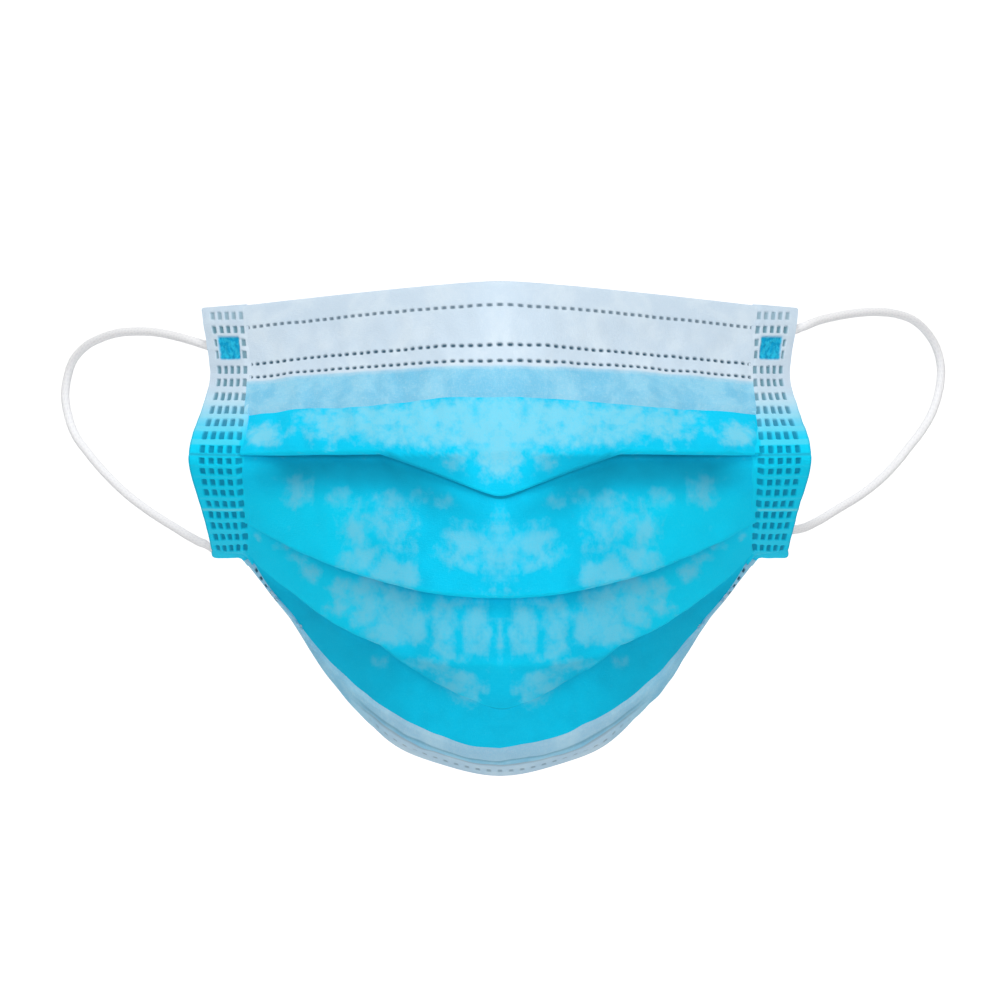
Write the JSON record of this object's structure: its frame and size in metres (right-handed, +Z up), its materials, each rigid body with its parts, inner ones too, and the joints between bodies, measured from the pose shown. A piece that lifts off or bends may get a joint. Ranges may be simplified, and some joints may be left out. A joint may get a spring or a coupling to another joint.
{
  "type": "medical face mask",
  "caption": "Pleated medical face mask in worn form: cloth panel with opened pleats, folded white hems, welded side bands and elastic ear loops.",
  "frame": {"origin": "where the nose bridge touches the back of the top hem, on the mirror plane", "axes": "+X to the right seen from the front, +Y back towards the face, +Z up"},
  "size_m": [0.2161, 0.1182, 0.1123],
  "materials": {
    "cloth_blue": "matte spun-bonded nonwoven, bright blue outside",
    "hem_white": "matte nonwoven, white with a cool tint",
    "band_weld": "nonwoven plies fused by rows of small rectangular weld marks",
    "loop_elastic": "soft knitted elastic cord, white"
  },
  "bodies": {
    "root": {"pleated_panel": "cloth_blue", "top_hem": "hem_white", "bottom_hem": "hem_white", "side_band_left": "band_weld", "side_band_right": "band_weld", "ear_loop_left": "loop_elastic", "ear_loop_right": "loop_elastic"}
  },
  "joints": []
}
